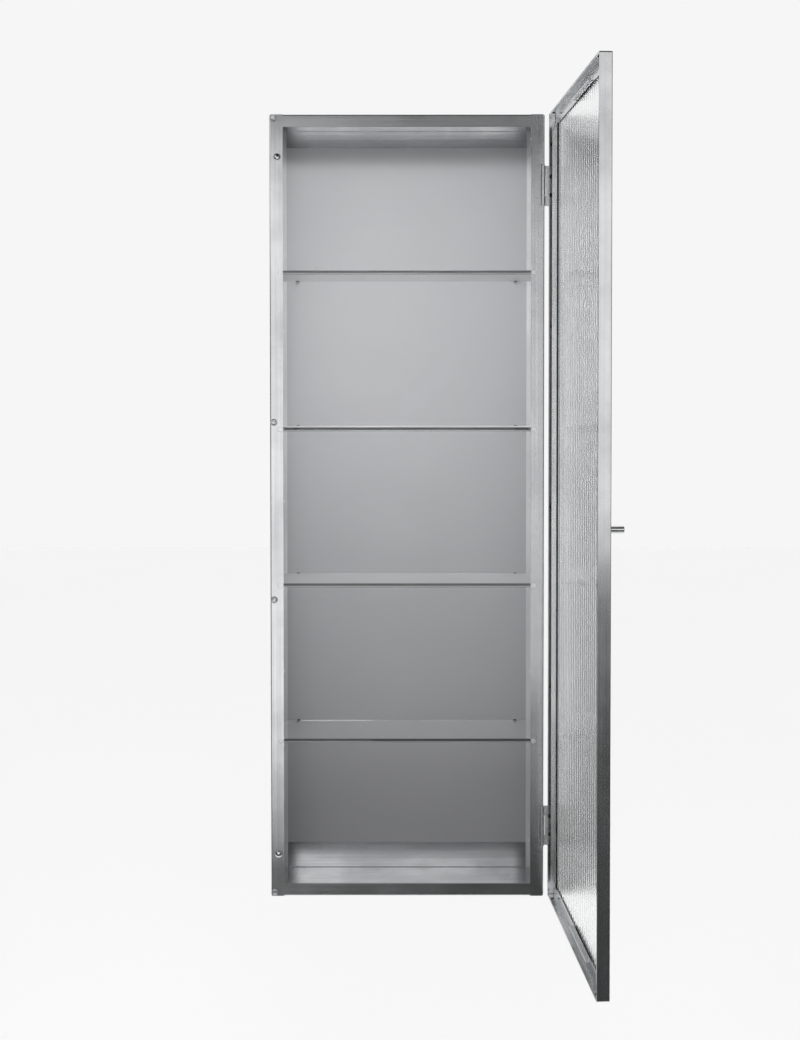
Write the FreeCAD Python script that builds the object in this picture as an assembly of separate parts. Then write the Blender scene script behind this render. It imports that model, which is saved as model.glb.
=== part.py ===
"""Steel wall cabinet with a reeded glass door and four glass shelves.

Millimetres. X runs to the right seen from the front, Y towards the wall, Z up.
The wall plane is Y = 0. Heights are worked out from the underside of the cabinet,
and the finished pieces are moved so that the wall screws' line is at Z = 0.
"""
import FreeCAD, Part
import math
import os

V = FreeCAD.Vector

# Carcase
cabinet_width = 350.0
cabinet_height = 1000.0
body_depth = 120.0
sheet = 1.0
side_flange = 17.0
rail_flange = 16.0
side_return = 13.0
top_return = 23.0
bottom_return = 35.0
bend_inside = 0.8
carcase_corner = 2.5
back_sheet = 1.0
back_inset = 2.0
wall_screw_spacing = 338.0
wall_screw_drop = 11.0
wall_hole_radius = 2.0

# Shelves and what carries them
shelf_count = 4
shelf_glass = 5.0
shelf_side_gap = 4.0
shelf_front_gap = 0.3
shelf_rear_gap = 1.0
shelf_edge_round = 0.8
clip_sheet = 1.0
clip_width = 7.0
clip_reach = 10.0
clip_rise = 8.0
clip_inset = 0.5
peg_radius = 3.5
peg_reach = 11.0
peg_from_side = 28.0
seat_clearance = 0.1

# Door
door_gap = 2.5
door_overlap = 1.6
door_depth = 14.3
door_sheet = 1.0
door_face = 16.0
door_corner = 2.0
door_open = 93.0
pane_thickness = 4.0
pane_clearance = 0.7
flute_pitch = 12.5
flute_rise = 1.2
retainer_width = 14.0
retainer_sheet = 1.0
retainer_outer_leg = 8.8
retainer_inner_leg = 7.0
retainer_bend = 0.4
end_tab_length = 113.0
end_tab_from_hinge = 159.0
knob_radius = 4.0
knob_length = 15.0
knob_edge = 0.6
knob_stud_radius = 2.0

# Hinges
hinge_height = 51.0
hinge_inset = 90.0
barrel_radius = 3.0
barrel_setback = 5.0
pin_radius = 1.5
pin_clearance = 0.05
pin_head_radius = 2.2
pin_head = 0.9
middle_knuckle = 24.6
knuckle_gap = 0.5
leaf_sheet = 1.0
fixed_leaf_width = 22.0
door_leaf_grip = 7.5
leaf_relief = 0.5
leaf_screw_spacing = 23.6
notch_clearance = 0.5

# Fasteners, bumpers and catch
fastener_count = 5
fastener_end = 37.5
head_sides = 10
rivet_head_radius = 2.5
rivet_head = 1.0
clip_rivet_radius = 3.0
clip_rivet_head = 0.4
screw_head_radius = 2.0
screw_head = 1.2
leaf_screw_radius = 3.0
leaf_screw_head = 1.6
screw_below_edge = 3.4
dome_sides = 20
bumper_radius = 4.4
bumper_from_edge = 5.0
bumper_corner = 5.0
bumper_below_shelf = 18.0
bumper_above_shelf = 9.0
magnet_radius = 4.6
magnet_from_edge = 9.9
magnet_from_end = 54.0
stop_clearance = 0.3

# Places that several pieces share
half_width = cabinet_width / 2
front = -body_depth
inner_front = front + sheet
return_front = -back_sheet - sheet
side_inside = half_width - sheet
flange_half = half_width - side_flange
return_half = half_width - side_return
wall_screw_height = cabinet_height - wall_screw_drop
shelf_pitch = cabinet_height / (shelf_count + 1)
shelf_levels = [shelf_pitch * (i + 1) for i in range(shelf_count)]
shelf_front = inner_front + clip_sheet + shelf_front_gap
shelf_rear = -back_sheet - shelf_rear_gap
clip_from_side = side_flange - clip_inset - clip_width / 2
back_rivet_x = half_width - sheet - side_return / 2
fastener_step = (cabinet_height - 2 * fastener_end) / (fastener_count - 1)
fastener_heights = [fastener_end + fastener_step * i for i in range(fastener_count)]

door_rear = front - door_gap
door_front = door_rear - door_depth
door_inside = half_width - door_sheet
door_low = -door_overlap
door_high = cabinet_height + door_overlap
pane_outer = door_front + door_sheet
pane_crest = pane_outer + pane_thickness
retainer_seat = pane_crest + seat_clearance
screw_line = door_rear - screw_below_edge
knob_x = -half_width + door_face / 2
knob_height = cabinet_height / 2

axis_x = half_width - door_sheet - leaf_sheet / 2
axis_y = front + barrel_setback
hinge_heights = (hinge_inset, cabinet_height - hinge_inset)


def box(x0, x1, y0, y1, z0, z1):
    """A block between two opposite corners, given in any order."""
    spans = [sorted(pair) for pair in ((x0, x1), (y0, y1), (z0, z1))]
    low = V(*[span[0] for span in spans])
    return Part.makeBox(*[span[1] - span[0] for span in spans], low)


def rod(radius, length, start, direction):
    """A round bar from a start point along a direction."""
    return Part.makeCylinder(radius, length, start, direction)


def fuse(shapes):
    """One clean solid from pieces that touch or overlap."""
    joined = shapes[0].multiFuse(shapes[1:])
    return joined.removeSplitter()


def edges_where(shape, test):
    """The straight edges whose two ends both pass a test."""
    found = []
    for edge in shape.Edges:
        ends = [vertex.Point for vertex in edge.Vertexes]
        if len(ends) == 2 and all(test(point) for point in ends):
            found.append(edge)
    return found


def near(a, b):
    """Equal to within modelling tolerance."""
    return abs(a - b) < 1e-6


def bent_line(corners, radius):
    """Edges along straight runs whose square corners are rounded, or sharp with no radius."""
    if not radius:
        return [Part.LineSegment(a, b).toShape() for a, b in zip(corners, corners[1:])]
    edges = []
    start = corners[0]
    for before, corner, after in zip(corners, corners[1:], corners[2:]):
        bend_start = corner - (corner - before).normalize() * radius
        bend_end = corner + (after - corner).normalize() * radius
        centre = bend_start + bend_end - corner
        middle = centre + (corner - centre).normalize() * radius
        edges.append(Part.LineSegment(start, bend_start).toShape())
        edges.append(Part.Arc(bend_start, middle, bend_end).toShape())
        start = bend_end
    edges.append(Part.LineSegment(start, corners[-1]).toShape())
    return edges


def folded(corners, thickness, bend, run):
    """Sheet folded square along its outer corners, all one way round, and drawn out along a run."""
    ways = [(after - before).normalize() for before, after in zip(corners, corners[1:])]
    inward = [way * thickness for way in ways[1:] + [-ways[-2]]]
    inner = [corners[0] + inward[0]]
    for corner, before, after in zip(corners[1:], inward, inward[1:]):
        inner.append(corner + before + after)
    inner.append(corners[-1] + inward[-1])
    outline = bent_line(corners, bend + thickness if bend else 0) + bent_line(inner, bend)
    for tip, inner_tip in ((corners[0], inner[0]), (corners[-1], inner[-1])):
        outline.append(Part.LineSegment(tip, inner_tip).toShape())
    section = Part.Face(Part.Wire(Part.__sortEdges__(outline)))
    return section.extrude(run)


def mirrored(shape):
    """The same piece on the other side of the cabinet."""
    return shape.mirror(V(0, 0, 0), V(1, 0, 0))


def ring(radius, centre, direction, sides):
    """A closed outline of equal sides, square to a direction."""
    turn = FreeCAD.Rotation(V(0, 0, 1), direction)
    step = 2 * math.pi / sides
    spokes = [V(math.cos(i * step), math.sin(i * step), 0) for i in range(sides)]
    corners = [centre + turn.multVec(spoke) * radius for spoke in spokes]
    return Part.makePolygon(corners + corners[:1])


def heads(radius, height, bases, direction, sides=head_sides):
    """Low domed heads, seated on a surface."""
    domed = []
    for base in bases:
        foot = ring(radius, base, direction, sides)
        shoulder = ring(radius * 0.88, base + direction * (height * 0.6), direction, sides)
        crown = ring(radius * 0.5, base + direction * height, direction, sides)
        domed.append(Part.makeLoft([foot, shoulder, crown], True, True))
    return domed


# Places of fasteners

def clip_rivet_points(side):
    """Front face of the side flange, level with each shelf."""
    return [V(side * (half_width - clip_from_side), front, z) for z in shelf_levels]


def back_rivet_points(side):
    """Front face of the side's rear return."""
    return [V(side * back_rivet_x, return_front, z) for z in fastener_heights]


def leaf_screw_heights(hinge):
    """Two screws a hinge leaf, about its middle."""
    return [hinge - leaf_screw_spacing / 2, hinge + leaf_screw_spacing / 2]


def fixed_leaf_points():
    """Inner face of each fixed leaf, on the side wall."""
    x = side_inside - leaf_sheet
    y = axis_y + barrel_radius + (fixed_leaf_width - barrel_radius) / 2
    return [V(x, y, z) for hinge in hinge_heights for z in leaf_screw_heights(hinge)]


def door_leaf_points():
    """Inner face of each door leaf, on the door's hinge edge."""
    x = door_inside - leaf_sheet
    return [V(x, screw_line, z) for hinge in hinge_heights for z in leaf_screw_heights(hinge)]


def wall_screw_points():
    """Wall screw holes in the sides' rear returns and the back."""
    return [V(x, return_front, wall_screw_height) for x in (-wall_screw_spacing / 2, wall_screw_spacing / 2)]


# Carcase pieces

def rounded_block(half, y0, y1, z0, z1, radius):
    """A block with its four corners rounded about Y."""
    block = box(-half, half, y0, y1, z0, z1)
    corners = [e for e in block.Edges if near(e.Vertexes[0].X, e.Vertexes[1].X) and near(e.Length, y1 - y0)]
    return block.makeFillet(radius, corners)


def eased_corners(panel):
    """A carcase panel with the cabinet's rounded outer corners."""
    return panel.common(rounded_block(half_width, front, 0, 0, cabinet_height, carcase_corner))


def side_panel():
    """Right side: front flange, wall and rear return folded from one sheet."""
    corners = [
        V(flange_half, front, 0), V(half_width, front, 0),
        V(half_width, -back_sheet, 0), V(return_half, -back_sheet, 0),
    ]
    panel = folded(corners, sheet, bend_inside, V(0, 0, cabinet_height))
    holes = [rod(wall_hole_radius, sheet, p, V(0, 1, 0)) for p in wall_screw_points()]
    return eased_corners(panel.cut(Part.makeCompound(holes)))


def hinge_side_panel():
    """Right side with a notch for each hinge barrel."""
    panel = side_panel()
    room = barrel_radius + notch_clearance
    half = hinge_height / 2 + pin_head + notch_clearance
    for hinge in hinge_heights:
        notch = box(axis_x - room, half_width, front, axis_y + room, hinge - half, hinge + half)
        panel = panel.cut(notch)
    return panel


def end_panel(z_skin, inward, rear_return):
    """Top or bottom: front flange, skin and rear return folded from one sheet."""
    corners = [
        V(-flange_half, front, z_skin + inward * rail_flange), V(-flange_half, front, z_skin),
        V(-flange_half, -back_sheet, z_skin), V(-flange_half, -back_sheet, z_skin + inward * rear_return),
    ]
    pieces = [folded(corners, sheet, bend_inside, V(2 * flange_half, 0, 0))]
    z_in = z_skin + inward * sheet
    for side in (-1, 1):
        x = side * flange_half
        clear = side * (side_inside - bend_inside)
        pieces.append(box(x, clear, inner_front, return_front, z_skin, z_in))
        pieces.append(box(clear, side * side_inside, inner_front + bend_inside,
                          return_front - bend_inside, z_skin, z_in))
        pieces.append(box(x, side * return_half, return_front, -back_sheet,
                          z_skin, z_skin + inward * rear_return))
    return eased_corners(fuse(pieces))


def top_panel():
    """Top, with the shorter rear return."""
    return end_panel(cabinet_height, -1, top_return)


def bottom_panel():
    """Bottom, with the taller rear return."""
    return end_panel(0, 1, bottom_return)


def back_panel():
    """Flat sheet behind the returns, against the wall."""
    edge = half_width - back_inset
    panel = box(-edge, edge, -back_sheet, 0, back_inset, cabinet_height - back_inset)
    wall_holes = [rod(wall_hole_radius, sheet + back_sheet, p, V(0, 1, 0)) for p in wall_screw_points()]
    return panel.cut(Part.makeCompound(wall_holes))


def back_rivets():
    """Rivets that hold the back to the side returns."""
    points = back_rivet_points(-1) + back_rivet_points(1)
    return heads(rivet_head_radius, rivet_head, points, V(0, -1, 0))


# Shelf pieces

def shelf(level):
    """Clear glass shelf with ground front and back edges."""
    low, high = level - shelf_glass / 2, level + shelf_glass / 2
    half = side_inside - shelf_side_gap
    pane = box(-half, half, shelf_front, shelf_rear, low, high)
    long_edges = edges_where(pane, lambda p: near(p.y, shelf_front) or near(p.y, shelf_rear))
    along_x = [e for e in long_edges if near(e.Vertexes[0].Z, e.Vertexes[1].Z) and e.Length > half]
    return pane.makeChamfer(shelf_edge_round, along_x)


def shelf_clip(level, side):
    """Angle riveted behind the flange, with its foot under the shelf's front corner."""
    top = level - shelf_glass / 2
    low = top - clip_sheet
    inner = flange_half + clip_inset
    corners = [V(inner, inner_front, top + clip_rise), V(inner, inner_front, low),
               V(inner, inner_front + clip_reach, low)]
    clip = folded(corners, clip_sheet, 0, V(clip_width, 0, 0))
    return clip if side > 0 else mirrored(clip)


def clip_rivets():
    """Flat rivets through the flanges into the shelf clips."""
    points = clip_rivet_points(-1) + clip_rivet_points(1)
    return heads(clip_rivet_radius, clip_rivet_head, points, V(0, -1, 0))


def shelf_peg(level, side):
    """Round peg on the back with a step cut for the shelf's rear edge."""
    start = V(side * (half_width - peg_from_side), -back_sheet, level)
    peg = rod(peg_radius, peg_reach, start, V(0, -1, 0))
    tip = -back_sheet - peg_reach
    seat = level - shelf_glass / 2
    step = box(start.x - peg_radius, start.x + peg_radius, tip, shelf_rear + seat_clearance,
               seat, level + peg_radius)
    return peg.cut(step)


# Door pieces, in the closed position

def door_frame():
    """Tray with a window: face, and four edges folded back from it."""
    tray = rounded_block(half_width, door_front, door_rear, door_low, door_high, door_corner)
    rim = [e for e in tray.Edges if all(near(v.Y, door_front) for v in e.Vertexes)]
    tray = tray.makeFillet(door_sheet, rim)
    hollow = rounded_block(door_inside, pane_outer, door_rear + door_sheet, door_low + door_sheet,
                           door_high - door_sheet, door_corner - door_sheet)
    window = box(-half_width + door_face, half_width - door_face, door_front, pane_outer,
                 door_low + door_face, door_high - door_face)
    stud = rod(knob_stud_radius, door_sheet, V(knob_x, door_front, knob_height), V(0, 1, 0))
    return tray.cut(hollow).cut(window).cut(stud)


def door_pane():
    """Reeded glass: flat outside, upright convex flutes inside."""
    half = door_inside - pane_clearance
    count = math.floor(2 * half / flute_pitch)
    cusp = pane_crest - flute_rise
    x = count * flute_pitch / 2
    edges = [
        Part.LineSegment(V(-half, pane_outer, 0), V(half, pane_outer, 0)).toShape(),
        Part.LineSegment(V(half, pane_outer, 0), V(half, cusp, 0)).toShape(),
        Part.LineSegment(V(half, cusp, 0), V(x, cusp, 0)).toShape(),
    ]
    for i in range(count):
        right = x - i * flute_pitch
        left = right - flute_pitch
        crest = V((left + right) / 2, pane_crest, 0)
        edges.append(Part.Arc(V(right, cusp, 0), crest, V(left, cusp, 0)).toShape())
    edges.append(Part.LineSegment(V(-x, cusp, 0), V(-half, cusp, 0)).toShape())
    edges.append(Part.LineSegment(V(-half, cusp, 0), V(-half, pane_outer, 0)).toShape())
    section = Part.Face(Part.Wire(edges))
    margin = door_sheet + pane_clearance
    pane = section.extrude(V(0, 0, door_high - door_low - 2 * margin))
    pane.translate(V(0, 0, door_low + margin))
    return pane


def side_retainer():
    """Channel that holds the glass along a side edge."""
    low = door_low + door_sheet + retainer_width
    high = door_high - door_sheet - retainer_width
    inner = door_inside - retainer_width
    corners = [
        V(door_inside, retainer_seat + retainer_outer_leg, low), V(door_inside, retainer_seat, low),
        V(inner, retainer_seat, low), V(inner, retainer_seat + retainer_inner_leg, low),
    ]
    return folded(corners, retainer_sheet, retainer_bend, V(0, 0, high - low))


def hinge_retainer():
    """The hinge edge's channel, cut away where the hinge leaves are screwed on."""
    channel = side_retainer()
    half = hinge_height / 2 + notch_clearance
    for hinge in hinge_heights:
        gap = box(door_inside - retainer_sheet, door_inside, retainer_seat + retainer_sheet,
                  retainer_seat + retainer_outer_leg, hinge - half, hinge + half)
        channel = channel.cut(gap)
    return channel


def end_retainer(z_edge, inward):
    """Angle along the top or bottom edge, with a folded tab that steadies the glass."""
    def corners(x):
        z_inner = z_edge + inward * retainer_width
        return [
            V(x, retainer_seat + retainer_outer_leg, z_edge), V(x, retainer_seat, z_edge),
            V(x, retainer_seat, z_inner), V(x, retainer_seat + retainer_inner_leg, z_inner),
        ]

    half = door_inside - door_corner
    angle = folded(corners(-half)[:3], retainer_sheet, retainer_bend, V(2 * half, 0, 0))
    tab_start = half_width - end_tab_from_hinge - end_tab_length
    tab = folded(corners(tab_start), retainer_sheet, retainer_bend, V(end_tab_length, 0, 0))
    angle = angle.cut(box(tab_start, tab_start + end_tab_length, retainer_seat,
                          retainer_seat + retainer_outer_leg, z_edge, z_edge + inward * retainer_width))
    return fuse([angle.Solids[0], angle.Solids[1], tab])


def end_screw_points(z_edge, inward):
    """Inner face of an end channel's outer leg, near both corners."""
    x = half_width - fastener_end / 2
    z = z_edge + inward * retainer_sheet
    return [V(-x, screw_line, z), V(x, screw_line, z)]


def retainer_screw_groups():
    """Screw places on the four channels, each with the way its heads face."""
    side_x = door_inside - retainer_sheet
    return [
        ([V(side_x, screw_line, z) for z in fastener_heights], V(-1, 0, 0)),
        ([V(-side_x, screw_line, z) for z in fastener_heights], V(1, 0, 0)),
        (end_screw_points(door_high - door_sheet, -1), V(0, 0, -1)),
        (end_screw_points(door_low + door_sheet, 1), V(0, 0, 1)),
    ]


def retainer_screws():
    """Pan head screws that hold the channels in the tray."""
    screws = []
    for points, inward in retainer_screw_groups():
        screws += heads(screw_head_radius, screw_head, points, inward)
    return screws


def knob():
    """Plain round bar with eased ends and a stud through the door's face."""
    bar = rod(knob_radius, knob_length, V(knob_x, door_front, knob_height), V(0, -1, 0))
    tip = door_front - knob_length
    rim = [e for e in bar.Edges if near(e.BoundBox.YMin, tip) and near(e.BoundBox.YMax, tip)]
    bar = bar.makeChamfer(knob_edge, rim)
    stud = rod(knob_stud_radius, door_sheet, V(knob_x, door_front, knob_height), V(0, 1, 0))
    return fuse([bar, stud])


# Hinge pieces

def barrel(low, high):
    """Stretch of hinge barrel about the hinge line."""
    tube = rod(barrel_radius, high - low, V(axis_x, axis_y, low), V(0, 0, 1))
    return tube.cut(pin_bore(low, high))


def pin_bore(low, high):
    """Room for the pin, with its running clearance."""
    return rod(pin_radius + pin_clearance, high - low, V(axis_x, axis_y, low), V(0, 0, 1))


def outer_knuckles(hinge):
    """Lowest and highest levels of the two outer knuckles."""
    end = hinge_height / 2
    middle = middle_knuckle / 2
    return [(hinge - end, hinge - middle - knuckle_gap), (hinge + middle + knuckle_gap, hinge + end)]


def fixed_leaf(hinge):
    """Leaf on the side wall, rolled into the middle knuckle."""
    end = hinge_height / 2
    middle = middle_knuckle / 2
    leaf_x0, leaf_x1 = side_inside - leaf_sheet, side_inside
    clear = axis_y + barrel_radius + leaf_relief
    plate = box(leaf_x0, leaf_x1, clear, axis_y + fixed_leaf_width, hinge - end, hinge + end)
    tongue = box(leaf_x0, leaf_x1, axis_y, clear, hinge - middle, hinge + middle)
    tongue = tongue.cut(pin_bore(hinge - end, hinge + end))
    return fuse([plate, tongue, barrel(hinge - middle, hinge + middle)])


def door_leaf(hinge):
    """Leaf on the door's hinge edge, rolled into the two outer knuckles."""
    end = hinge_height / 2
    leaf_x0, leaf_x1 = door_inside - leaf_sheet, door_inside
    clear = axis_y - barrel_radius - leaf_relief
    plate = box(leaf_x0, leaf_x1, door_rear - door_leaf_grip, clear, hinge - end, hinge + end)
    pieces = [plate]
    for low, high in outer_knuckles(hinge):
        tongue = box(leaf_x0, leaf_x1, clear, axis_y, low, high)
        pieces.append(tongue.cut(pin_bore(low, high)))
        pieces.append(barrel(low, high))
    return fuse(pieces)


def hinge_pin(hinge):
    """Pin through all three knuckles, headed at both ends."""
    end = hinge_height / 2 + knuckle_gap
    shank = rod(pin_radius, 2 * end, V(axis_x, axis_y, hinge - end), V(0, 0, 1))
    upper = rod(pin_head_radius, pin_head, V(axis_x, axis_y, hinge + end), V(0, 0, 1))
    lower = rod(pin_head_radius, pin_head, V(axis_x, axis_y, hinge - end), V(0, 0, -1))
    return fuse([shank, upper, lower])


def leaf_screws(points):
    """Pan head screws of the hinge leaves, heads towards the middle of the cabinet."""
    return heads(leaf_screw_radius, leaf_screw_head, points, V(-1, 0, 0))


# Bumpers and catch, on the left flange

def bumpers():
    """Clear domes that the closed door meets."""
    x = -half_width + bumper_from_edge
    heights = [bumper_corner, cabinet_height - bumper_corner]
    heights += [shelf_levels[1] - bumper_below_shelf, shelf_levels[2] + bumper_above_shelf]
    height = door_gap - stop_clearance
    return heads(bumper_radius, height, [V(x, front, z) for z in heights], V(0, -1, 0), dome_sides)


def catch_magnets():
    """Round catch magnets with domed faces."""
    x = -half_width + magnet_from_edge
    heights = (magnet_from_end, cabinet_height - magnet_from_end)
    height = door_gap - stop_clearance
    return heads(magnet_radius, height, [V(x, front, z) for z in heights], V(0, -1, 0), dome_sides)


def carcase_pieces():
    """Everything that stays on the wall."""
    pieces = {
        "side_left": [mirrored(side_panel())],
        "side_right": [hinge_side_panel()],
        "top_panel": [top_panel()],
        "bottom_panel": [bottom_panel()],
        "back_panel": [back_panel()],
        "back_rivets": back_rivets(),
        "clip_rivets": clip_rivets(),
        "fixed_leaf_screws": leaf_screws(fixed_leaf_points()),
        "bumpers": bumpers(),
        "catch_magnets": catch_magnets(),
    }
    for number, level in enumerate(shelf_levels, start=1):
        pieces[f"shelf_{number}"] = [shelf(level)]
        pieces[f"shelf_clips_{number}"] = [shelf_clip(level, side) for side in (-1, 1)]
        pieces[f"shelf_pegs_{number}"] = [shelf_peg(level, side) for side in (-1, 1)]
    for name, hinge in zip(("lower", "upper"), hinge_heights):
        pieces[f"hinge_{name}_fixed_leaf"] = [fixed_leaf(hinge)]
        pieces[f"hinge_{name}_pin"] = [hinge_pin(hinge)]
    return pieces


def door_pieces():
    """Everything that swings with the door."""
    pieces = {
        "door_frame": [door_frame()],
        "door_pane": [door_pane()],
        "retainer_hinge_side": [hinge_retainer()],
        "retainer_knob_side": [mirrored(side_retainer())],
        "retainer_top": [end_retainer(door_high - door_sheet, -1)],
        "retainer_bottom": [end_retainer(door_low + door_sheet, 1)],
        "retainer_screws": retainer_screws(),
        "door_leaf_screws": leaf_screws(door_leaf_points()),
        "knob": [knob()],
    }
    for name, hinge in zip(("lower", "upper"), hinge_heights):
        pieces[f"hinge_{name}_door_leaf"] = [door_leaf(hinge)]
    return pieces


def write(pieces, swing):
    """Turn pieces about the hinge line, set the origin and write one file a node."""
    for node, solids in pieces.items():
        shape = solids[0] if len(solids) == 1 else Part.makeCompound(solids)
        shape.rotate(V(axis_x, axis_y, 0), V(0, 0, 1), swing)
        shape.translate(V(0, 0, -wall_screw_height))
        shape.exportStep(f"parts/{node}.step")


os.makedirs("parts", exist_ok=True)
write(carcase_pieces(), 0)
write(door_pieces(), door_open)
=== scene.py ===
"""Looks of a steel wall cabinet with glass shelves and a reeded glass door.

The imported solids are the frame. The sheet metal, glass, hinges, clips, pegs and knob
keep their own meshes and get finishes. The rivets, screws, bumpers and catch domes
are made here, finer than the solids that they stand for.
Metres, in the frame's own axes: X right, Y into the wall, Z up.
"""

import math
from collections import namedtuple

import bmesh
import bpy
from bpy.props import FloatProperty, FloatVectorProperty, IntProperty, PointerProperty
from mathutils import Matrix, Vector


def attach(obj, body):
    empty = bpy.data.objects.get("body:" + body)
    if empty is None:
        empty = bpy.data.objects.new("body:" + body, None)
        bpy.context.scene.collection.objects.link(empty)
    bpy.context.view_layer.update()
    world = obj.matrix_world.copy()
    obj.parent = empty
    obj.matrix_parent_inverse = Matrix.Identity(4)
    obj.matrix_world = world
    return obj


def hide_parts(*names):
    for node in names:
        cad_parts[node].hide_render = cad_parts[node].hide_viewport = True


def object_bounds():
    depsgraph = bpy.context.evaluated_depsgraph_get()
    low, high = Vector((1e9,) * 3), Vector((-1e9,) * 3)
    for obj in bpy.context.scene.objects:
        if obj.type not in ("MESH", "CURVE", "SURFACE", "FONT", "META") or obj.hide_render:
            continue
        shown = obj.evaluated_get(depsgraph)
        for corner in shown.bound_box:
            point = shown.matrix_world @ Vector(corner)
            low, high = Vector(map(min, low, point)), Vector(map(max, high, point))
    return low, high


bl_info = {
    "name": "Steel wall cabinet",
    "version": (1, 0, 0),
    "blender": (4, 5, 0),
    "location": "View3D > Sidebar > Cabinet",
    "description": "Finishes and small fittings of a steel and glass wall cabinet",
    "category": "Object",
}

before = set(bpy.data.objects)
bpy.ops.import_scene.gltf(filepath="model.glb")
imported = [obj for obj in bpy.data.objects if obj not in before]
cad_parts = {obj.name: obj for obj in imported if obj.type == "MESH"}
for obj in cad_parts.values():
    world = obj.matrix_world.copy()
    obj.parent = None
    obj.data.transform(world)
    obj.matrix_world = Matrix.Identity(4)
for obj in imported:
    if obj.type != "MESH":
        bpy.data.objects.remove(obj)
CAD_BOX = [list(corner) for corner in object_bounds()]

# Nodes of the frame that share a finish
SIDES = ("side_left", "side_right")
ENDS = ("top_panel", "bottom_panel")
DOOR_UPRIGHTS = ("door_frame", "retainer_hinge_side", "retainer_knob_side")
DOOR_RAILS = ("retainer_top", "retainer_bottom")
SHELF_NUMBERS = (1, 2, 3, 4)
SHELVES = [f"shelf_{number}" for number in SHELF_NUMBERS]
CLIPS = [f"shelf_clips_{number}" for number in SHELF_NUMBERS]
PEGS = [f"shelf_pegs_{number}" for number in SHELF_NUMBERS]
HINGE_PARTS = ("fixed_leaf", "door_leaf", "pin")
HINGES = [f"hinge_{place}_{part}" for place in ("upper", "lower") for part in HINGE_PARTS]

# Noise fineness on X, Y and Z: streaks are fine across the brushing and long along it
STREAKS_UPRIGHT = (320.0, 320.0, 2.5)
STREAKS_ACROSS = (2.5, 320.0, 320.0)
STREAKS_DEEP = (320.0, 2.5, 320.0)
HINGE_GRAIN = (500.0, 500.0, 60.0)
KNOB_GRAIN = (60.0, 2500.0, 2500.0)

# Stretch of a noise value that a level or a colour changes over
LEVEL_REACH = (0.25, 0.75)
COLOUR_REACH = (0.3, 0.7)

# Stretch of a direction's Y over which the dim room gives way to the backdrop
HORIZON = (-0.10, 0.15)

# Limits for reading solids and closing turned meshes, in metres and radians
WELD_DISTANCE = 1e-6
FLAT_ANGLE = 0.01
AXIS_RADIUS = 1e-9

# Floor: half its width, how far its middle lies behind the wall plane, and cells along a side
FLOOR_REACH = 8.0
FLOOR_MIDDLE = 6.8
FLOOR_CELLS = 8

# Camera sensor that the focal length is given for
SENSOR_WIDTH_MM = 36.0


class FinishSettings(bpy.types.PropertyGroup):
    """Colours and roughness of the cabinet's materials."""

    steel: FloatVectorProperty(
        name="Steel", description="Colour of the brushed sheet",
        subtype="COLOR", min=0, max=1, default=(0.74, 0.75, 0.757))
    steel_roughness: FloatProperty(
        name="Steel roughness", description="Blur of reflections in the brushed sheet",
        subtype="FACTOR", min=0, max=1, default=0.20)
    inner_roughness: FloatProperty(
        name="Inner roughness", description="Blur of reflections on the dull inside of the sides",
        subtype="FACTOR", min=0, max=1, default=0.50)
    inner_depth: FloatProperty(
        name="Inner depth", description="Distance from the wall at which the sides' dull inside begins",
        unit="LENGTH", default=0.108)
    inner_step: FloatProperty(
        name="Inner step", description="Distance over which the sides go from bright to dull",
        unit="LENGTH", default=0.002)
    back: FloatVectorProperty(
        name="Back panel", description="Colour of the satin back panel",
        subtype="COLOR", min=0, max=1, default=(0.45, 0.453, 0.465))
    shelf_tint: FloatVectorProperty(
        name="Shelf glass", description="Tint of the clear shelf glass",
        subtype="COLOR", min=0, max=1, default=(0.93, 0.955, 0.945))
    # Painted shade: a near-black tint on the upper part of the shelves' front and back edges
    shelf_edge_shade: FloatVectorProperty(
        name="Shelf edges", description="Tint of the shelves' ground front and back edges",
        subtype="COLOR", min=0, max=1, default=(0.04, 0.05, 0.045))
    shelf_bloom: FloatProperty(
        name="Shelf bloom", description="Faint pale bloom on the shelves' flat faces",
        subtype="FACTOR", min=0, max=1, default=0.6)
    pane_tint: FloatVectorProperty(
        name="Door glass", description="Tint of the reeded door glass",
        subtype="COLOR", min=0, max=1, default=(0.985, 1.0, 0.995))
    peg: FloatVectorProperty(
        name="Shelf pegs", description="Colour of the pegs at the back of the shelves",
        subtype="COLOR", min=0, max=1, default=(0.05, 0.05, 0.052))
    screw: FloatVectorProperty(
        name="Screws", description="Colour of the blackened screws",
        subtype="COLOR", min=0, max=1, default=(0.03, 0.03, 0.032))
    polished: FloatVectorProperty(
        name="Polished steel", description="Colour of the knob and the catch domes",
        subtype="COLOR", min=0, max=1, default=(0.66, 0.66, 0.67))
    bumper: FloatVectorProperty(
        name="Bumpers", description="Tint of the clear bumpers",
        subtype="COLOR", min=0, max=1, default=(0.92, 0.94, 0.95))


class FittingSettings(bpy.types.PropertyGroup):
    """Sizes of the small fittings that are modelled here."""

    turns: IntProperty(
        name="Segments", description="Segments around each turned piece",
        min=12, max=96, default=32)
    recess_width: FloatProperty(
        name="Recess width", description="Width of one arm of the cross recess",
        unit="LENGTH", default=0.0006)
    recess_depth: FloatProperty(
        name="Recess depth", description="Depth of the cross recess",
        unit="LENGTH", default=0.0006)
    recess_reach: FloatProperty(
        name="Recess reach", description="Length of the recess's arms as a part of the head's radius",
        subtype="FACTOR", min=0, max=1, default=0.62)


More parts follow.
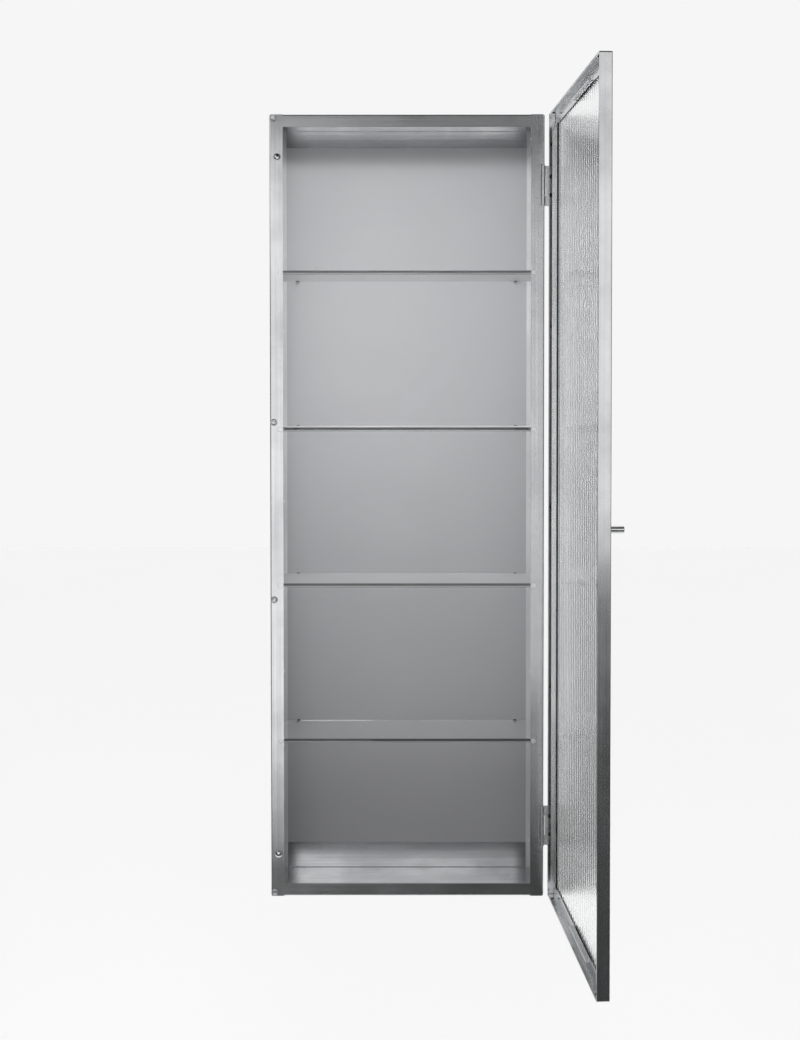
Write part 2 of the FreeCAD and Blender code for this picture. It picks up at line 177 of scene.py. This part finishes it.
class StudioSettings(bpy.types.PropertyGroup):
    """Camera, floor, surroundings and lamps."""

    eye: FloatVectorProperty(
        name="Camera place", description="Where the camera stands",
        subtype="XYZ", unit="LENGTH", default=(-0.00815, -2.0480, -0.3538))
    pitch: FloatProperty(
        name="Pitch", description="How far the camera looks down",
        unit="ROTATION", default=math.radians(1.459))
    yaw: FloatProperty(
        name="Yaw", description="How far the camera looks to the right",
        unit="ROTATION", default=math.radians(-0.031))
    roll: FloatProperty(
        name="Roll", description="How far the camera leans",
        unit="ROTATION", default=math.radians(0.023))
    lens: FloatProperty(
        name="Lens", description="Focal length on a 36 mm wide sensor",
        unit="CAMERA", default=68.005)
    shift_x: FloatProperty(
        name="Shift X", description="Sideways shift of the picture", default=0.0002)
    shift_y: FloatProperty(
        name="Shift Y", description="Upright shift of the picture", default=-0.0997)
    floor_drop: FloatProperty(
        name="Floor drop", description="Height of the cabinet above the floor",
        unit="LENGTH", default=1.0)
    floor: FloatVectorProperty(
        name="Floor", description="Colour of the floor",
        subtype="COLOR", min=0, max=1, default=(0.98, 0.98, 0.98))
    backdrop: FloatVectorProperty(
        name="Backdrop", description="Colour of the space behind the cabinet",
        subtype="COLOR", min=0, max=1, default=(0.92, 0.92, 0.92))
    dim: FloatProperty(
        name="Dim light", description="Level of the room in front of the cabinet",
        min=0, default=0.05)
    panel_left_place: FloatVectorProperty(
        name="Left panel place", description="Middle of the tall panel to the left of the camera",
        subtype="XYZ", unit="LENGTH", default=(-0.55, -2.35, -0.56))
    panel_left_size: FloatVectorProperty(
        name="Left panel size", description="Width and height of the left panel",
        size=2, unit="LENGTH", default=(0.92, 1.88))
    panel_left_level: FloatProperty(
        name="Left panel level", description="Brightness of the left panel",
        min=0, default=1.06)
    panel_middle_place: FloatVectorProperty(
        name="Middle panel place", description="Middle of the panel behind the camera",
        subtype="XYZ", unit="LENGTH", default=(0.205, -2.35, -0.455))
    panel_middle_size: FloatVectorProperty(
        name="Middle panel size", description="Width and height of the middle panel",
        size=2, unit="LENGTH", default=(0.59, 1.39))
    panel_middle_level: FloatProperty(
        name="Middle panel level", description="Brightness of the middle panel",
        min=0, default=0.85)
    panel_right_place: FloatVectorProperty(
        name="Right panel place", description="Middle of the panel to the right of the camera",
        subtype="XYZ", unit="LENGTH", default=(0.80, -2.35, -0.09))
    panel_right_size: FloatVectorProperty(
        name="Right panel size", description="Width and height of the right panel",
        size=2, unit="LENGTH", default=(0.6, 1.28))
    panel_right_level: FloatProperty(
        name="Right panel level", description="Brightness of the right panel",
        min=0, default=1.0)
    side_place: FloatVectorProperty(
        name="Side lamp place", description="Where the lamp high on the left stands",
        subtype="XYZ", unit="LENGTH", default=(-1.45, -1.75, 0.55))
    side_target: FloatVectorProperty(
        name="Side lamp target", description="Where the side lamp points to",
        subtype="XYZ", unit="LENGTH", default=(0.0, -0.1, -0.4))
    side_size: FloatVectorProperty(
        name="Side lamp size", description="Width and height of the side lamp",
        size=2, unit="LENGTH", default=(1.1, 1.1))
    side_level: FloatProperty(
        name="Side lamp level", description="Brightness of the side lamp",
        min=0, default=1.3)
    key_place: FloatVectorProperty(
        name="Key lamp place", description="Where the small lamp in front of the cabinet's top stands",
        subtype="XYZ", unit="LENGTH", default=(-0.03, -1.15, 0.24))
    key_target: FloatVectorProperty(
        name="Key lamp target", description="Where the key lamp points to",
        subtype="XYZ", unit="LENGTH", default=(-0.05, 0.0, -0.26))
    key_size: FloatVectorProperty(
        name="Key lamp size", description="Width and height of the key lamp",
        size=2, unit="LENGTH", default=(0.2, 0.1))
    key_level: FloatProperty(
        name="Key lamp level", description="Brightness of the key lamp",
        min=0, default=8.5)
    key_spread: FloatProperty(
        name="Key lamp spread", description="Angle that the key lamp's light fans out over",
        unit="ROTATION", default=math.radians(56))
    fill_place: FloatVectorProperty(
        name="Fill lamp place", description="Where the large lamp in front of the cabinet stands",
        subtype="XYZ", unit="LENGTH", default=(-0.03, -1.15, 0.05))
    fill_target: FloatVectorProperty(
        name="Fill lamp target", description="Where the fill lamp points to",
        subtype="XYZ", unit="LENGTH", default=(-0.05, 0.0, -0.22))
    fill_size: FloatVectorProperty(
        name="Fill lamp size", description="Width and height of the fill lamp",
        size=2, unit="LENGTH", default=(0.4, 0.75))
    fill_level: FloatProperty(
        name="Fill lamp level", description="Brightness of the fill lamp",
        min=0, default=0.95)
    fill_spread: FloatProperty(
        name="Fill lamp spread", description="Angle that the fill lamp's light fans out over",
        unit="ROTATION", default=math.radians(52))
    overhead: FloatProperty(
        name="Overhead light", description="Strength of the soft light from straight above",
        min=0, default=1.45)
    overhead_blur: FloatProperty(
        name="Overhead blur", description="Angle that softens the overhead light's shadows",
        unit="ROTATION", default=math.radians(60))


# Node trees

class Network:
    """A node tree under construction, with short calls for its nodes."""

    def __init__(self, tree):
        self.tree = tree

    def node(self, kind, **values):
        """A new node, with its settings or its inputs' values by name."""
        made = self.tree.nodes.new(kind)
        for name, value in values.items():
            if hasattr(made, name):
                setattr(made, name, value)
            else:
                made.inputs[name.replace("_", " ")].default_value = value
        return made

    def lead(self, given, target):
        """Lead an output socket, or a plain value, into an input socket."""
        if isinstance(given, bpy.types.NodeSocket):
            self.tree.links.new(given, target)
        else:
            target.default_value = given

    def coordinates(self, kind):
        """Places on the piece, or directions of the surroundings."""
        return self.node("ShaderNodeTexCoord").outputs[kind]

    def part_of(self, output, axis):
        """One axis of a place or a direction."""
        parts = self.node("ShaderNodeSeparateXYZ")
        self.lead(output, parts.inputs["Vector"])
        return parts.outputs[axis]

    def reckon(self, operation, *values):
        """The result of a calculation with one or two values."""
        step = self.node("ShaderNodeMath", operation=operation)
        for value, target in zip(values, step.inputs):
            self.lead(value, target)
        return step.outputs["Value"]

    def change(self, value, start, end, before=0.0, after=1.0):
        """A level that goes over to another while a value passes from start to end."""
        step = self.node("ShaderNodeMapRange", From_Min=start, From_Max=end, To_Max=after)
        self.lead(value, step.inputs["Value"])
        self.lead(before, step.inputs["To Min"])
        return step.outputs["Result"]

    def blend(self, first, second, factor, how="MIX"):
        """Two colours mixed by a factor; each may be a socket or a value."""
        mix = self.node("ShaderNodeMix", data_type="RGBA", blend_type=how)
        for name, given in (("A", first), ("B", second), ("Factor", factor)):
            self.lead(given, mix.inputs[name])
        return mix.outputs["Result"]


class Finish(Network):
    """A node material under construction."""

    def __init__(self, name):
        self.material = bpy.data.materials.new(name)
        self.material.use_nodes = True
        super().__init__(self.material.node_tree)
        self.surface = self.tree.nodes["Principled BSDF"]
        self.relief = None

    def set(self, **inputs):
        """Sockets or values on the surface shader's own inputs."""
        for name, given in inputs.items():
            self.lead(given, self.surface.inputs[name.replace("_", " ")])

    def noise(self, fineness, detail=3.0, roughness=0.55):
        """A noise value over the piece, with a fineness for each axis."""
        stretch = self.node("ShaderNodeMapping", Scale=fineness)
        self.lead(self.coordinates("Object"), stretch.inputs["Vector"])
        texture = self.node("ShaderNodeTexNoise", Scale=1.0, Detail=detail, Roughness=roughness)
        self.lead(stretch.outputs["Vector"], texture.inputs["Vector"])
        return texture.outputs["Fac"]

    def levels(self, noise, low, high):
        """A noise value as a change between two levels."""
        return self.change(noise, *LEVEL_REACH, before=low, after=high)

    def colours(self, noise, dark, light):
        """A noise value as a change between two colours."""
        ramp = self.node("ShaderNodeValToRGB")
        for element, place, colour in zip(ramp.color_ramp.elements, COLOUR_REACH, (dark, light)):
            element.position = place
            element.color = (*colour, 1)
        self.lead(noise, ramp.inputs["Fac"])
        return ramp.outputs["Color"]

    def tones(self, noise, colour, darkest, lightest=1.0):
        """A noise value as a change between two shades of a colour."""
        return self.colours(noise, shade(colour, darkest), shade(colour, lightest))

    def facing(self, axis):
        """How squarely a face looks along an axis, either way."""
        normal = self.node("ShaderNodeNewGeometry").outputs["Normal"]
        return self.reckon("ABSOLUTE", self.part_of(normal, axis))

    def bump(self, value, strength, distance):
        """Relief from a value, on top of any relief added before."""
        relief = self.node("ShaderNodeBump", Strength=strength, Distance=distance)
        self.lead(value, relief.inputs["Height"])
        if self.relief:
            self.lead(self.relief.outputs["Normal"], relief.inputs["Normal"])
        self.set(Normal=relief.outputs["Normal"])
        self.relief = relief


def shade(colour, factor):
    """A colour made lighter or darker."""
    return tuple(min(1.0, channel * factor) for channel in colour)


def even(fineness):
    """The same fineness on each axis."""
    return (fineness, fineness, fineness)


# Materials

def brushed_steel(name, settings, streak_fineness, dull_inside=False):
    """Sheet brushed in one direction, slightly wavy, with cloudy handling marks."""
    finish = Finish(name)
    streaks = finish.noise(streak_fineness, detail=2.0)
    marks = finish.noise(even(14.0), detail=4.0, roughness=0.6)
    waves = finish.noise(even(7.0), detail=1.0)
    brushed = finish.tones(streaks, settings.steel, darkest=0.92, lightest=1.05)
    clouds = finish.colours(marks, dark=(0.84, 0.84, 0.85), light=(1.0, 1.0, 1.0))
    rough = settings.steel_roughness
    blur = finish.levels(marks, low=rough + 0.06, high=rough - 0.05)
    shine = 1.0
    if dull_inside:
        depth = finish.part_of(finish.coordinates("Object"), "Y")
        start = -settings.inner_depth
        end = start + settings.inner_step
        blur = finish.change(depth, start, end, before=blur, after=settings.inner_roughness)
        shine = finish.change(depth, start, end, before=1.0, after=0.0)
    colour = finish.blend(brushed, clouds, factor=1.0, how="MULTIPLY")
    finish.set(Base_Color=colour, Roughness=blur, Metallic=shine)
    finish.bump(waves, strength=0.3, distance=0.002)
    finish.bump(streaks, strength=0.12, distance=0.0002)
    return finish.material


def satin_back(settings):
    """Satin sheet of the back panel, with a fine grain and a faint cloudiness."""
    finish = Finish("back_satin_grey")
    grain = finish.noise(even(1400.0), detail=2.0)
    clouds = finish.noise(even(4.0), detail=2.0)
    colour = finish.tones(clouds, settings.back, darkest=0.97, lightest=1.03)
    blur = finish.levels(grain, low=0.46, high=0.54)
    finish.set(Base_Color=colour, Roughness=blur, Metallic=0.10)
    finish.bump(grain, strength=0.08, distance=0.0001)
    return finish.material


def wiped_glass(name, tint, roughness, fineness):
    """A glass finish, and the glass's colour with slight wipe marks."""
    finish = Finish(name)
    finish.set(Transmission_Weight=1.0, IOR=1.5, Roughness=roughness)
    wipes = finish.noise(fineness, detail=2.0)
    return finish, finish.tones(wipes, tint, darkest=0.99)


def reeded_glass(settings):
    """The door's glass, a little hazy from its rolled flutes."""
    tint = settings.pane_tint
    finish, clear = wiped_glass("door_reeded_glass", tint, roughness=0.10, fineness=even(60.0))
    finish.set(Base_Color=clear)
    return finish.material


def shelf_glass(settings):
    """The shelves' glass, with painted shade on the upper part of its front and back edges above a
    clear lower rim, and a faint bloom.
    """
    tint = settings.shelf_tint
    finish, clear = wiped_glass("shelf_clear_glass", tint, roughness=0.0, fineness=even(30.0))
    # Painted shade: faces that look to the front or back take the near-black edge tint in their upper
    # part
    edge = finish.facing("Y")
    height = finish.part_of(finish.coordinates("Generated"), "Z")
    upper = finish.change(height, start=0.30, end=0.45)
    ground = finish.reckon("MULTIPLY", edge, upper)
    bloom = finish.change(edge, start=0.0, end=1.0, before=settings.shelf_bloom, after=0.0)
    finish.set(Base_Color=finish.blend(clear, (*settings.shelf_edge_shade, 1), ground))
    finish.set(Sheen_Weight=bloom, Sheen_Roughness=0.4)
    return finish.material


def satin_metal(name, colour, roughness, fineness):
    """Satin metal of small pieces, with a fine grain."""
    finish = Finish(name)
    grain = finish.noise(fineness)
    tones = finish.tones(grain, colour, darkest=0.92, lightest=1.06)
    blur = finish.levels(grain, low=roughness - 0.04, high=roughness + 0.05)
    finish.set(Base_Color=tones, Roughness=blur, Metallic=1.0)
    finish.bump(grain, strength=0.08, distance=0.00005)
    return finish.material


def clear_rubber(settings):
    """Clear soft plastic of the bumpers, with painted shade round the rim."""
    finish = Finish("bumper_clear")
    haze = finish.noise(even(800.0), detail=1.0)
    clear = finish.tones(haze, settings.bumper, darkest=0.97)
    # Painted shade: a dark ring where the dome's faces turn sideways, round its rim
    rim = (*shade(settings.bumper, factor=0.2), 1)
    middle = finish.change(finish.facing("Y"), start=0.25, end=0.70)
    blur = finish.levels(haze, low=0.08, high=0.16)
    finish.set(Base_Color=finish.blend(rim, clear, middle), Roughness=blur)
    finish.set(Transmission_Weight=0.85, IOR=1.6, Coat_Weight=1.0, Coat_Roughness=0.05)
    return finish.material


def pale_floor(studio):
    """Matt floor with a barely seen cloudiness."""
    finish = Finish("floor_pale")
    clouds = finish.noise(even(0.8), detail=2.0)
    finish.set(Base_Color=finish.tones(clouds, studio.floor, darkest=0.995))
    finish.set(Roughness=0.9, Specular_IOR_Level=0.1)
    return finish.material


def give(nodes, material):
    """Put one material on CAD nodes."""
    for name in nodes:
        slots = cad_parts[name].data.materials
        slots.clear()
        slots.append(material)


def glaze(nodes, material):
    """Put glass on CAD nodes, clear to soft light and without a shadow."""
    give(nodes, material)
    for name in nodes:
        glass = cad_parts[name]
        glass.visible_diffuse = False
        glass.visible_shadow = False


# Small fittings

Seat = namedtuple("Seat", "centre direction radius height")


def add_object(name, data):
    """A new object in the scene."""
    made = bpy.data.objects.new(name, data)
    bpy.context.collection.objects.link(made)
    return made


def mesh_from(work, name):
    """A new mesh from an edited one, which is let go."""
    mesh = bpy.data.meshes.new(name)
    work.to_mesh(mesh)
    work.free()
    return mesh


def joined_to(first):
    """Every vertex that edges join to the first one, with itself."""
    solid = {first}
    front = [first]
    while front:
        vertex = front.pop()
        for edge in vertex.link_edges:
            other = edge.other_vert(vertex)
            if other not in solid:
                solid.add(other)
                front.append(other)
    return solid


def seats(node):
    """Foot centre, outward direction, radius and height of each separate solid of a node."""
    work = bmesh.new()
    work.from_mesh(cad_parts[node].data)
    bmesh.ops.remove_doubles(work, verts=work.verts, dist=WELD_DISTANCE)
    bmesh.ops.dissolve_limit(work, angle_limit=FLAT_ANGLE, verts=work.verts, edges=work.edges)
    found = []
    waiting = set(work.verts)
    while waiting:
        solid = joined_to(min(waiting, key=lambda vertex: vertex.index))
        waiting -= solid
        faces = {face for vertex in solid for face in vertex.link_faces}
        foot = max(faces, key=lambda face: face.calc_area())
        centre = foot.calc_center_median()
        direction = -foot.normal
        radius = max((vertex.co - centre).length for vertex in foot.verts)
        height = max((vertex.co - centre).dot(direction) for vertex in solid)
        found.append(Seat(centre, direction, radius, height))
    work.free()
    return found


def lathe(profile, segments):
    """A closed turned mesh about Z from radius and height pairs that start and end on the axis."""
    work = bmesh.new()
    angles = [i * (2 * math.pi / segments) for i in range(segments)]
    rings = []
    for radius, height in profile:
        if radius < AXIS_RADIUS:
            rings.append([work.verts.new((0, 0, height))])
        else:
            rings.append([work.verts.new((radius * math.cos(angle), radius * math.sin(angle), height))
                          for angle in angles])
    for lower, upper in zip(rings, rings[1:]):
        for i in range(segments):
            corners = [lower[i % len(lower)], lower[(i + 1) % len(lower)],
                       upper[(i + 1) % len(upper)], upper[i % len(upper)]]
            work.faces.new(list(dict.fromkeys(corners)))
    bmesh.ops.recalc_face_normals(work, faces=work.faces)
    return mesh_from(work, "turned")


def arc(radius, height, start, end, rings):
    """Points of an ellipse from one angle to another, seen from the side."""
    points = []
    for i in range(rings + 1):
        angle = start + (end - start) * i / rings
        points.append((radius * math.cos(angle), height * math.sin(angle)))
    return points


def domed_rivet(radius, height):
    """Outline of a blind rivet: a domed rim about a shallow hole."""
    rim = 0.98 * radius
    hole = 0.42 * radius
    hole_edge = 0.7 * height
    hole_floor = 0.66 * height
    dome = arc(rim, height, start=math.radians(20), end=math.radians(62), rings=5)
    return [(0.0, 0.0), (radius, 0.0)] + dome + [(hole, hole_edge), (0.0, hole_floor)]


def flush_rivet(radius, height):
    """Outline of a pressed flat rivet: a low disc with a ring groove near its edge."""
    # Parts of the radius and of the height, from the rim over the groove to the disc's face
    groove = [(0.99, 0.9), (0.95, 0.95), (0.88, 0.05), (0.84, 0.05), (0.76, 0.95)]
    ring = [(radius * out, height * up) for out, up in groove]
    return [(0.0, 0.0), (radius, 0.0)] + ring + [(0.0, height)]


def screw_head(radius, height):
    """Outline of a pan head with a slightly drawn-in foot."""
    foot = 0.96 * radius
    lip = 0.12 * height
    dome = arc(radius, height, start=math.radians(25), end=math.radians(90), rings=6)
    return [(0.0, 0.0), (foot, 0.0), (radius, lip)] + dome


def round_dome(radius, height):
    """Outline of a round stop with a slightly drawn-in foot."""
    foot = 0.97 * radius
    lip = 0.1 * height
    dome = arc(radius, height, start=math.radians(12), end=math.radians(90), rings=8)
    return [(0.0, 0.0), (foot, 0.0), (radius, lip)] + dome


def cross_recess(mesh, width, depth, reach, top):
    """The mesh with a cross-shaped recess pressed into its top."""
    body = add_object("recessed", mesh)
    cutters = []
    for turn in (0, math.pi / 2):
        work = bmesh.new()
        bmesh.ops.create_cube(work, size=1.0)
        bmesh.ops.scale(work, vec=(2 * reach, width, 2 * depth), verts=work.verts)
        bmesh.ops.rotate(work, matrix=Matrix.Rotation(turn, 3, "Z"), verts=work.verts)
        bmesh.ops.translate(work, vec=(0, 0, top), verts=work.verts)
        cutter = add_object("cutter", mesh_from(work, "cutter"))
        cut = body.modifiers.new("recess", "BOOLEAN")
        cut.operation = "DIFFERENCE"
        cut.solver = "EXACT"
        cut.object = cutter
        cutters.append(cutter)
    result = body.evaluated_get(bpy.context.evaluated_depsgraph_get())
    shaped = bpy.data.meshes.new_from_object(result)
    for thing in cutters + [body]:
        bpy.data.objects.remove(thing)
    return shaped


def copies(name, mesh, places, material, smooth_angle):
    """One object of the same mesh stood at each foot and direction."""
    upward = Vector((0, 0, 1))
    work = bmesh.new()
    for seat in places:
        turn = upward.rotation_difference(seat.direction).to_matrix().to_4x4()
        one = mesh.copy()
        one.transform(Matrix.Translation(seat.centre) @ turn)
        work.from_mesh(one)
        bpy.data.meshes.remove(one)
    result = mesh_from(work, name)
    result.materials.append(material)
    result.shade_smooth()
    result.set_sharp_from_angle(angle=smooth_angle)
    return add_object(name, result)


def fit_on(piece, body, node):
    """Ride on a body and stand for a node."""
    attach(piece, body)
    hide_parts(node)


# Lamps

def soft_lamp(studio, name, target):
    """A flat lamp of even brightness that shines at a target, from the settings with its name."""
    place = Vector(getattr(studio, name + "_place"))
    width, height = getattr(studio, name + "_size")
    light = bpy.data.lights.new(name, "AREA")
    light.shape = "RECTANGLE"
    light.size = width
    light.size_y = height
    light.energy = getattr(studio, name + "_level") * math.pi * width * height
    lamp = add_object(name, light)
    turn = (target - place).to_track_quat("-Z", "Y").to_matrix().to_4x4()
    lamp.matrix_world = Matrix.Translation(place) @ turn
    return lamp


def keep_unseen(lamp):
    """Leave a lamp out of reflections and out of the view through glass."""
    lamp.visible_glossy = False
    lamp.visible_transmission = False


# Operators

class CABINET_OT_sheet_metal(bpy.types.Operator):
    """Brush the sheet metal of the carcase and the door"""

    bl_idname = "cabinet.sheet_metal"
    bl_label = "Sheet metal"

    def execute(self, context):
        settings = context.scene.cabinet_finish
        give(DOOR_UPRIGHTS, brushed_steel("steel_brushed_upright", settings, STREAKS_UPRIGHT))
        give(ENDS, brushed_steel("steel_brushed_across", settings, STREAKS_ACROSS))
        give(DOOR_RAILS, brushed_steel("steel_brushed_deep", settings, STREAKS_DEEP))
        give(SIDES, brushed_steel("steel_brushed_sides", settings, STREAKS_UPRIGHT, dull_inside=True))
        return {"FINISHED"}


class CABINET_OT_back(bpy.types.Operator):
    """Finish the back panel"""

    bl_idname = "cabinet.back"
    bl_label = "Back panel"

    def execute(self, context):
        give(("back_panel",), satin_back(context.scene.cabinet_finish))
        return {"FINISHED"}


class CABINET_OT_shelves(bpy.types.Operator):
    """Glaze the shelves and finish their clips and pegs"""

    bl_idname = "cabinet.shelves"
    bl_label = "Shelves"

    def execute(self, context):
        settings = context.scene.cabinet_finish
        glaze(SHELVES, shelf_glass(settings))
        grain = even(700.0)
        metal = satin_metal("clip_satin_steel", settings.steel, roughness=0.32, fineness=grain)
        dark = satin_metal("peg_dark_steel", settings.peg, roughness=0.30, fineness=grain)
        give(CLIPS, metal)
        give(PEGS, dark)
        return {"FINISHED"}


class CABINET_OT_rivets(bpy.types.Operator):
    """Set the rivets of the back and of the shelf clips"""

    bl_idname = "cabinet.rivets"
    bl_label = "Rivets"

    def execute(self, context):
        turns = context.scene.cabinet_fittings.turns
        colour = shade(context.scene.cabinet_finish.steel, factor=1.18)
        metal = satin_metal("rivet_satin_steel", colour, roughness=0.28, fineness=even(900.0))
        for node, outline in (("back_rivets", domed_rivet), ("clip_rivets", flush_rivet)):
            places = seats(node)
            seat = places[0]
            rivet = lathe(outline(seat.radius, seat.height), turns)
            piece = copies(node + "_set", rivet, places, metal, smooth_angle=math.radians(35))
            fit_on(piece, "carcase", node)
        return {"FINISHED"}


class CABINET_OT_hinges(bpy.types.Operator):
    """Finish the hinge leaves and pins"""

    bl_idname = "cabinet.hinges"
    bl_label = "Hinges"

    def execute(self, context):
        colour = shade(context.scene.cabinet_finish.steel, factor=0.95)
        give(HINGES, satin_metal("hinge_satin_steel", colour, roughness=0.26, fineness=HINGE_GRAIN))
        return {"FINISHED"}


class CABINET_OT_screws(bpy.types.Operator):
    """Drive the blackened pan head screws"""

    bl_idname = "cabinet.screws"
    bl_label = "Screws"

    def execute(self, context):
        sizes = context.scene.cabinet_fittings
        colour = context.scene.cabinet_finish.screw
        metal = satin_metal("screw_blackened", colour, roughness=0.34, fineness=even(900.0))
        bodies = {"retainer_screws": "door", "door_leaf_screws": "door", "fixed_leaf_screws": "carcase"}
        for node, body in bodies.items():
            places = seats(node)
            seat = places[0]
            head = lathe(screw_head(seat.radius, seat.height), sizes.turns)
            reach = seat.radius * sizes.recess_reach
            head = cross_recess(head, sizes.recess_width, sizes.recess_depth, reach, top=seat.height)
            piece = copies(node + "_driven", head, places, metal, smooth_angle=math.radians(40))
            fit_on(piece, body, node)
        return {"FINISHED"}


class CABINET_OT_stops(bpy.types.Operator):
    """Stick on the clear bumpers and set the catch domes"""

    bl_idname = "cabinet.stops"
    bl_label = "Bumpers and catches"

    def execute(self, context):
        settings = context.scene.cabinet_finish
        turns = context.scene.cabinet_fittings.turns
        rubber = clear_rubber(settings)
        nickel = satin_metal("catch_polished", settings.polished, roughness=0.14, fineness=even(600.0))
        groups = (("bumpers", "bumper_clear", rubber), ("catch_magnets", "magnet_nickel", nickel))
        for node, slot, material in groups:
            places = seats(node)
            seat = places[0]
            dome = lathe(round_dome(seat.radius, seat.height), turns)
            piece = copies(node + "_domes", dome, places, material, smooth_angle=math.radians(50))
            fit_on(piece, "carcase", node)
        return {"FINISHED"}


class CABINET_OT_door_glass(bpy.types.Operator):
    """Glaze the door with reeded glass"""

    bl_idname = "cabinet.door_glass"
    bl_label = "Door glass"

    def execute(self, context):
        glaze(("door_pane",), reeded_glass(context.scene.cabinet_finish))
        return {"FINISHED"}


class CABINET_OT_knob(bpy.types.Operator):
    """Polish the knob"""

    bl_idname = "cabinet.knob"
    bl_label = "Knob"

    def execute(self, context):
        colour = context.scene.cabinet_finish.polished
        give(("knob",), satin_metal("knob_polished_steel", colour, roughness=0.16, fineness=KNOB_GRAIN))
        return {"FINISHED"}


class CABINET_OT_stage(bpy.types.Operator):
    """Set the floor, the surrounding light, the lamps and the camera"""

    bl_idname = "cabinet.stage"
    bl_label = "Stage"

    def execute(self, context):
        studio = context.scene.cabinet_studio
        self.make_floor(studio)
        self.make_surroundings(context.scene, studio)
        self.make_lamps(studio)
        self.make_camera(context.scene, studio)
        context.scene.view_settings.view_transform = "Standard"
        return {"FINISHED"}

    def make_floor(self, studio):
        """A pale floor far below the cabinet, as under one that hangs on a wall."""
        level = CAD_BOX[0][2] - studio.floor_drop
        work = bmesh.new()
        bmesh.ops.create_grid(work, x_segments=FLOOR_CELLS, y_segments=FLOOR_CELLS, size=FLOOR_REACH)
        bmesh.ops.translate(work, vec=(0.0, FLOOR_MIDDLE, level), verts=work.verts)
        mesh = mesh_from(work, "floor")
        mesh.materials.append(pale_floor(studio))
        floor = add_object("floor", mesh)

    def make_surroundings(self, scene, studio):
        """A pale backdrop behind the cabinet and a dim room in front of it."""
        world = bpy.data.worlds.new("studio")
        world.use_nodes = True
        scene.world = world
        sky = Network(world.node_tree)
        behind = sky.change(sky.part_of(sky.coordinates("Generated"), "Y"), *HORIZON)
        room = (studio.dim, studio.dim, studio.dim, 1)
        light = sky.blend(room, (*studio.backdrop, 1), behind)
        sky.lead(light, sky.tree.nodes["Background"].inputs["Color"])

    def make_lamps(self, studio):
        """Panels behind the camera, a side lamp, a key and a fill lamp, and light from above."""
        ahead = Vector((0.0, 1.0, 0.0))
        for name in ("panel_left", "panel_middle", "panel_right"):
            soft_lamp(studio, name, Vector(getattr(studio, name + "_place")) + ahead)
        soft_lamp(studio, "side", Vector(studio.side_target))
        for name in ("key", "fill"):
            lamp = soft_lamp(studio, name, Vector(getattr(studio, name + "_target")))
            lamp.data.spread = getattr(studio, name + "_spread")
            lamp.data.cycles.use_multiple_importance_sampling = False
            keep_unseen(lamp)
        sun = bpy.data.lights.new("overhead", "SUN")
        sun.energy = studio.overhead
        sun.angle = studio.overhead_blur
        keep_unseen(add_object("overhead", sun))

    def make_camera(self, scene, studio):
        """The camera where the photograph was taken from."""
        lens = bpy.data.cameras.new("camera")
        lens.sensor_fit = "HORIZONTAL"
        lens.sensor_width = SENSOR_WIDTH_MM
        lens.lens = studio.lens
        lens.shift_x = studio.shift_x
        lens.shift_y = studio.shift_y
        ahead = Vector((math.sin(studio.yaw) * math.cos(studio.pitch),
                        math.cos(studio.yaw) * math.cos(studio.pitch), -math.sin(studio.pitch)))
        level = Vector((math.cos(studio.yaw), -math.sin(studio.yaw), 0.0))
        down = ahead.cross(level)
        right = math.cos(studio.roll) * level + math.sin(studio.roll) * down
        below = -math.sin(studio.roll) * level + math.cos(studio.roll) * down
        turn = Matrix((right, -below, -ahead)).transposed().to_4x4()
        camera = add_object("camera", lens)
        camera.matrix_world = Matrix.Translation(Vector(studio.eye)) @ turn
        scene.camera = camera


STEPS = (
    CABINET_OT_sheet_metal,
    CABINET_OT_back,
    CABINET_OT_shelves,
    CABINET_OT_rivets,
    CABINET_OT_hinges,
    CABINET_OT_screws,
    CABINET_OT_stops,
    CABINET_OT_door_glass,
    CABINET_OT_knob,
    CABINET_OT_stage,
)


class CABINET_PT_steps(bpy.types.Panel):
    """Every step of the cabinet's looks, in order"""

    bl_idname = "CABINET_PT_steps"
    bl_label = "Wall cabinet"
    bl_space_type = "VIEW_3D"
    bl_region_type = "UI"
    bl_category = "Cabinet"

    def draw(self, context):
        for step in STEPS:
            self.layout.operator(step.bl_idname)


SETTINGS = (
    ("cabinet_finish", FinishSettings),
    ("cabinet_fittings", FittingSettings),
    ("cabinet_studio", StudioSettings),
)


def register():
    """Make the settings, steps and panel known."""
    for name, group in SETTINGS:
        bpy.utils.register_class(group)
        setattr(bpy.types.Scene, name, PointerProperty(type=group))
    for step in STEPS + (CABINET_PT_steps,):
        bpy.utils.register_class(step)


def unregister():
    """Take the panel, steps and settings away."""
    for step in reversed(STEPS + (CABINET_PT_steps,)):
        bpy.utils.unregister_class(step)
    for name, group in reversed(SETTINGS):
        delattr(bpy.types.Scene, name)
        bpy.utils.unregister_class(group)


def main():
    """Run every step."""
    register()
    for step in STEPS:
        group, name = step.bl_idname.split(".")
        getattr(getattr(bpy.ops, group), name)()


if __name__ == "__main__":
    main()
